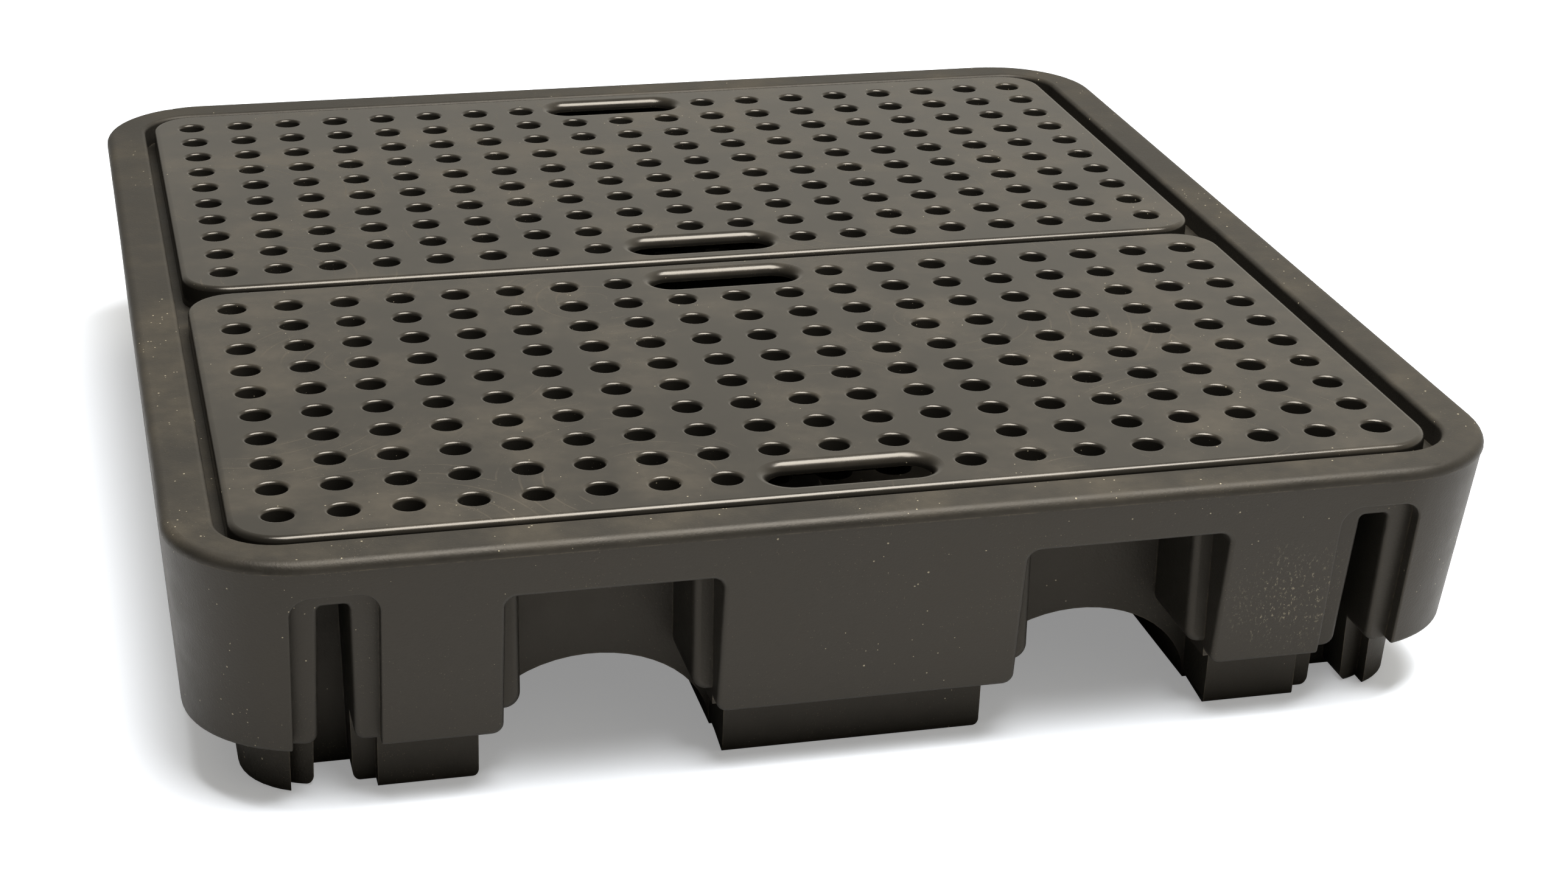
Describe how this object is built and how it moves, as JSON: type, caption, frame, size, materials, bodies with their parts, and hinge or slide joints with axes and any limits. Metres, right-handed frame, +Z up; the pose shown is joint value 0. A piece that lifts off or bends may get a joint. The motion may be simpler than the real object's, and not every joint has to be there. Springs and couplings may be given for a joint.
{
  "type": "spill containment pallet",
  "caption": "Low spill containment pallet: a plastic sump base with fork ways and recessed corner slots, topped by lift-out perforated deck grates with hand slots.",
  "frame": {"origin": "on the ground under the middle of the base", "axes": "+X to the right along the front, +Y from the front to the back through the fork ways, +Z up"},
  "size_m": [1.3, 1.416, 0.283],
  "materials": {
    "sump_base": "rotationally moulded polyethylene, fine-grained matte, mottled and dusty",
    "deck_grate": "moulded polyethylene, satin, scuffed, with worn lighter edges"
  },
  "bodies": {
    "base": {"sump_base": "sump_base"},
    "front_deck": {"front_grate": "deck_grate"},
    "rear_deck": {"rear_grate": "deck_grate"}
  },
  "joints": [
    {"name": "front_grate_lift", "type": "slide", "parent": "base", "child": "front_deck", "axis": [0, 0, 1], "range_m": [0, 0.25]},
    {"name": "rear_grate_lift", "type": "slide", "parent": "base", "child": "rear_deck", "axis": [0, 0, 1], "range_m": [0, 0.25]}
  ]
}
